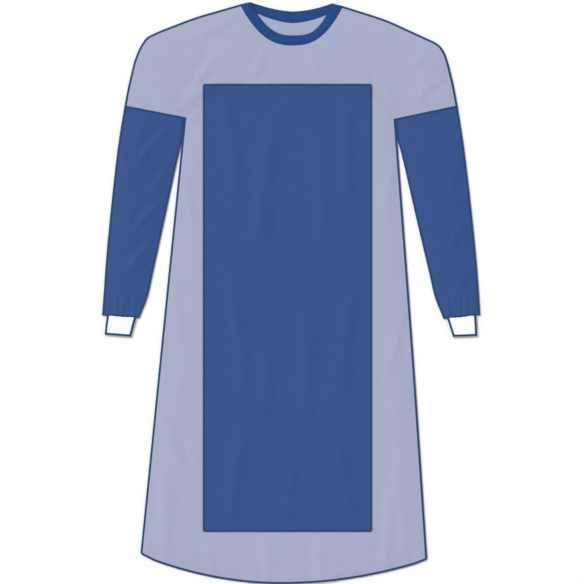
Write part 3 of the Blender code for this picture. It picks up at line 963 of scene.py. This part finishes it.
def wrapped(run, cloth, thickness):
    """Thread round the cut edges of both layers of a tube, or over and under a seam."""
    upper = strip(run, raised(cloth, -thickness), cloth)
    return [upper, strip(run, level(CROSS_THREAD_LOW), level(thickness - THREAD_PROUD))]


def edge_strips(edges, top):
    """Thread along both edges of a tube."""
    return [strip(run, level(TUBE_THREAD_LOW), top) for run in (edges[:, :2], edges[:, 2:])]


def add_sleeve_thread(side, material):
    """Overlock over the armhole seam, along both edges of the sleeve and round its wrist."""
    rows, top = sleeve_rows(side), functools.partial(sleeve_top, side)
    start, end = shoulder_run(side)[-1], np.array(SIDE_SEAM[side].underarm)

    def armhole_top(points):
        seam_y = start[1] + (points[:, 0] - start[0]) * (end[1] - start[1]) / (end[0] - start[0])
        return np.where(points[:, 1] > seam_y, front_top(points), top(points))

    beyond = (end - start) / np.linalg.norm(end - start) * 2 * THREAD_HALF_WIDTH
    stretches = wrapped(straight(start, end + beyond), armhole_top, CLOTH)
    edges = narrowed(rows, THREAD_HALF_WIDTH)
    closing = UNDERARM_CLOSING * ease(UNDERARM_OPEN_Y, UNDERARM_CLOSED_Y, edges[:, 3])
    edges[:, 2] -= SIGN[side] * closing
    stretches += edge_strips(edges, top)
    wrist = straight(rows[-1][:2], rows[-1][2:]) + np.array((0.0, THREAD_HALF_WIDTH - WRIST_OVERHANG))
    stretches += wrapped(wrist, top, CLOTH)
    return add_thread(f"thread_sleeve_{side}", stretches, material)


def add_cuff_thread(side, material):
    rows, top = cuff_rows(side), raised(functools.partial(cuff_top, side), RIB_HEIGHT + RIB_CLEARANCE)
    end = straight(rows[-1][:2], rows[-1][2:]) + np.array((0.0, THREAD_HALF_WIDTH))
    stretches = edge_strips(narrowed(rows, THREAD_HALF_WIDTH), top) + wrapped(end, top, KNIT)
    return add_thread(f"thread_cuff_{side}", stretches, material)


def rounded_rectangle(xs, ys, radius):
    """Anticlockwise, closed, from the middle of its lower side."""
    middle = ((xs[0] + xs[1]) / 2, ys[0])
    x0, x1, y0, y1 = xs[0] + radius, xs[1] - radius, ys[0] + radius, ys[1] - radius
    points = [middle]
    for quarter, (x, y) in enumerate(((x1, y0), (x1, y1), (x0, y1), (x0, y0)), -1):
        angles = np.linspace(0, math.pi / 2, CORNER_POINTS) + quarter * math.pi / 2
        points += [(x + radius * math.cos(angle), y + radius * math.sin(angle)) for angle in angles]
    points.append(middle)
    return join_runs(*[straight(a, b) for a, b in zip(points, points[1:])])


def add_reinforcement_thread(material):
    run = rounded_rectangle(*patch_ranges(THREAD_HALF_WIDTH), PATCH_CORNER_RADIUS)
    return add_thread("thread_reinforcement", [strip(run, front_top, patch_top)], material)


class Nodes:
    """Short calls for building a material's nodes."""

    def __init__(self, name, colour, roughness, specular):
        self.material = bpy.data.materials.new(name)
        self.material.use_nodes = True
        self.tree = self.material.node_tree
        self.shader = self.tree.nodes["Principled BSDF"]
        self.set("Base Color", linear_colour(colour))
        self.set("Roughness", roughness)
        self.set("Specular IOR Level", specular)
        self.place = self.tree.nodes.new("ShaderNodeTexCoord").outputs["Object"]

    def set(self, socket, value):
        self.shader.inputs[socket].default_value = value

    def link(self, source, target):
        self.tree.links.new(source, target)

    def mapped(self, stretch=(1.0, 1.0, 1.0), turn=0.0):
        mapping = self.tree.nodes.new("ShaderNodeMapping")
        mapping.inputs["Scale"].default_value = stretch
        mapping.inputs["Rotation"].default_value = (0.0, 0.0, turn)
        self.link(self.place, mapping.inputs["Vector"])
        return mapping.outputs["Vector"]

    def noise(self, size, detail=2.0, **placing):
        """Noise whose blotches are about the given size in millimetres."""
        noise = self.tree.nodes.new("ShaderNodeTexNoise")
        noise.inputs["Scale"].default_value = 1 / (size * MM)
        noise.inputs["Detail"].default_value = detail
        self.link(self.mapped(**placing), noise.inputs["Vector"])
        return noise.outputs["Fac"]

    def calculate(self, operation, *values):
        node = self.tree.nodes.new("ShaderNodeMath")
        node.operation = operation
        for socket, value in zip(node.inputs, values):
            if isinstance(value, (int, float)):
                socket.default_value = value
            else:
                self.link(value, socket)
        return node.outputs["Value"]

    def waves(self, pitch, turn):
        """A sine wave along one direction of the surface, from 0 to 1."""
        parts = self.tree.nodes.new("ShaderNodeSeparateXYZ")
        self.link(self.mapped(turn=turn), parts.inputs["Vector"])
        angle = self.calculate("MULTIPLY", parts.outputs["X"], 2 * math.pi / (pitch * MM))
        return self.calculate("MULTIPLY_ADD", self.calculate("SINE", angle), 0.5, 0.5)

    def crossed(self, first, second):
        """Dots where two waves cross, each given as its pitch and turn."""
        return self.calculate("MULTIPLY", self.waves(*first), self.waves(*second))

    def vary_colour(self, amount, colour, dark, light):
        """The base colour from dark to light as the amount goes through a noise's range."""
        ramp = self.tree.nodes.new("ShaderNodeValToRGB")
        for element, position, share in zip(ramp.color_ramp.elements, NOISE_RANGE, (dark, light)):
            element.position = position
            element.color = linear_colour(colour, share)
        self.link(amount, ramp.inputs["Fac"])
        self.link(ramp.outputs["Color"], self.shader.inputs["Base Color"])

    def vary_roughness(self, amount, low, high):
        node = self.tree.nodes.new("ShaderNodeMapRange")
        for name, value in zip(("From Min", "From Max", "To Min", "To Max"), (*NOISE_RANGE, low, high)):
            node.inputs[name].default_value = value
        self.link(amount, node.inputs["Value"])
        self.link(node.outputs["Result"], self.shader.inputs["Roughness"])

    def bump(self, height, depth, strength=1.0):
        """Relief of a depth in millimetres; later calls add to earlier ones."""
        node = self.tree.nodes.new("ShaderNodeBump")
        node.inputs["Distance"].default_value = depth * MM
        node.inputs["Strength"].default_value = strength
        self.link(height, node.inputs["Height"])
        normal = self.shader.inputs["Normal"]
        if normal.is_linked:
            self.link(normal.links[0].from_socket, node.inputs["Normal"])
        self.link(node.outputs["Normal"], normal)


def nonwoven(name, colour, roughness, contrast, emboss):
    """Spunbond cloth: cloudy fibres, faint crimps and a fine pattern of bonded points."""
    made = Nodes(name, colour, roughness, 0.3)
    points = made.crossed((2.2, math.pi / 4), (2.2, -math.pi / 4))
    fibres = made.noise(0.8, 3.0, stretch=(1.0, 0.3, 1.0), turn=0.5)
    cloud = made.calculate("MULTIPLY", made.noise(9.0, 4.0), 0.75)
    mixed = made.calculate("MULTIPLY_ADD", fibres, 0.25, cloud)
    shade = made.calculate("MULTIPLY_ADD", points, -0.07, mixed)
    made.vary_colour(shade, colour, 1 - contrast, 1 + contrast)
    made.vary_roughness(cloud, roughness - 0.08, roughness + 0.08)
    made.bump(points, -emboss)
    made.bump(fibres, depth=0.05)
    made.bump(made.noise(26.0), depth=0.5, strength=0.5)
    made.set("Sheen Weight", 0.12)
    made.set("Sheen Roughness", 0.5)
    return made.material


def woven_tape(name, colour):
    """Closely woven twill tape."""
    made = Nodes(name, colour, 0.75, 0.25)
    made.vary_colour(made.noise(3.0, 3.0), colour, 0.93, 1.07)
    made.bump(made.crossed((1.1, 0.9), (1.4, -0.6)), 0.12)
    return made.material


def rib_knit(name, colour):
    """Small knit stitches over the modelled ribs."""
    made = Nodes(name, colour, 0.9, 0.2)
    made.vary_colour(made.noise(2.0, 3.0), colour, 0.96, 1.0)
    made.bump(made.crossed((1.5, math.pi / 2), (1.65, 0.0)), 0.2)
    return made.material


def sewing_thread(name, colour):
    """Twisted thread: fine slanted plies over the modelled stitches."""
    made = Nodes(name, colour, 0.6, 0.25)
    made.vary_colour(made.noise(1.4), colour, 0.9, 1.1)
    made.bump(made.crossed((0.9, 0.5), (0.9, 2.1)), 0.12)
    return made.material


def make_panels(lavender, blue, thread):
    """The backs, then the front on them, then the reinforcement on the front."""
    panels = {
        "back_left": (left_back_outline(), left_back_top, [add_back_thread("left", thread)]),
        "back_right": (right_back_outline(), right_back_top, [add_back_thread("right", thread)]),
        "front": (
            front_outline(),
            front_top,
            [*[add_side_thread(side, thread) for side in SIGN], add_front_hem_thread(thread)],
        ),
    }
    below = []
    for node, (outline, top, threads) in panels.items():
        outline = inset(outline, EDGE_INSET)
        piece = add_cloth(f"{node}_cloth", outline, top, lavender, node)
        below = [piece.name, *below]
    patch = add_reinforcement(blue)
    add_reinforcement_thread(thread)


def make_sleeves(blue, knit, thread):
    for side in SIGN:
        sleeve = add_sleeve(side, blue)
        sleeve_rows(side)
        add_sleeve_thread(side, thread)
        cuff = add_cuff(side, knit)
        add_cuff_thread(side, thread)


def make_neckbands(tape, thread):
    bands = (
        ("front", "front", {}, front_underside, FRONT_BAND),
        ("back_right", "back", {"last_x": BACK_EDGE_X["right"]}, raised(right_back_top, -CLOTH), CLOTH),
        ("back_left", "back", {"first_x": BACK_EDGE_X["left"]}, raised(left_back_top, -CLOTH), CLOTH),
    )
    for panel, curve, limits, underside, thickness in bands:
        node = f"neckband_{panel}"
        seams, edges = [neck_run(f"{curve}_{line}", **limits) for line in ("seam", "edge")]
        band = add_neckband(node, seams, edges, underside, thickness, tape)
        stretches = []
        for share in STITCH_LINES:
            line = seams + (edges - seams) * share
            stretches += topstitches(np.column_stack([line, underside(line) + thickness * STITCH_HEIGHT]))
        stitching = add_thread(f"stitching_{node}", stretches, thread)


def make_gown():
    lavender = nonwoven("lavender_nonwoven", LAVENDER, 0.85, 0.03, 0.12)
    blue = nonwoven("blue_laminate", BLUE, 0.6, 0.05, 0.06)
    tape = woven_tape("navy_tape", NAVY)
    knit = rib_knit("white_rib_knit", WHITE)
    thread = sewing_thread("navy_thread", THREAD_NAVY)
    make_panels(lavender, blue, thread)
    make_sleeves(blue, knit, thread)
    make_neckbands(tape, thread)


def make_stage():
    """A plain pale floor, an even surround and one large soft light from the upper left."""
    scene = bpy.context.scene
    scene.view_settings.view_transform = "Standard"

    mesh = bpy.data.meshes.new("floor")
    signs = ((-1, -1), (1, -1), (1, 1), (-1, 1))
    corners = [(x * FLOOR_REACH, y * FLOOR_REACH, FLOOR_HEIGHT) for x, y in signs]
    mesh.from_pydata(corners, [], [(0, 1, 2, 3)])
    floor = bpy.data.objects.new("floor", mesh)
    scene.collection.objects.link(floor)
    mesh.materials.append(Nodes("floor_paper", FLOOR, 0.9, 0.1).material)

    world = bpy.data.worlds.new("surround")
    world.use_nodes = True
    background = world.node_tree.nodes["Background"]
    background.inputs["Color"].default_value = (1.0, 1.0, 1.0, 1.0)
    background.inputs["Strength"].default_value = SURROUND_STRENGTH
    scene.world = world

    sun = bpy.data.lights.new("key", "SUN")
    sun.energy = KEY_STRENGTH
    sun.angle = math.radians(KEY_SOFTNESS)
    key = bpy.data.objects.new("key", sun)
    scene.collection.objects.link(key)
    key.rotation_mode = "QUATERNION"
    key.rotation_quaternion = Vector(KEY_DIRECTION).to_track_quat("-Z", "Y")


def make_camera():
    camera_data = bpy.data.cameras.new("camera")
    camera_data.sensor_width = SENSOR_WIDTH
    camera_data.lens = SENSOR_WIDTH * CAMERA_HEIGHT / VIEW_WIDTH
    camera_data.clip_end = CAMERA_REACH * MM
    camera = bpy.data.objects.new("camera", camera_data)
    camera.location = (VIEW_MIDDLE[0] * MM, VIEW_MIDDLE[1] * MM, (CAMERA_HEIGHT + LOFT) * MM)
    bpy.context.scene.collection.objects.link(camera)
    bpy.context.scene.camera = camera


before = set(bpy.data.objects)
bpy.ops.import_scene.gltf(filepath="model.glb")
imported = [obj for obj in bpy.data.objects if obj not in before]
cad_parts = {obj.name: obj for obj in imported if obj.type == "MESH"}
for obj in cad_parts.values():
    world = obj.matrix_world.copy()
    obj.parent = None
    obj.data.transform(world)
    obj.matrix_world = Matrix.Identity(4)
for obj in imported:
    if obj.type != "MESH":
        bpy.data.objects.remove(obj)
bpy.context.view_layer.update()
make_stage()
make_camera()
make_gown()
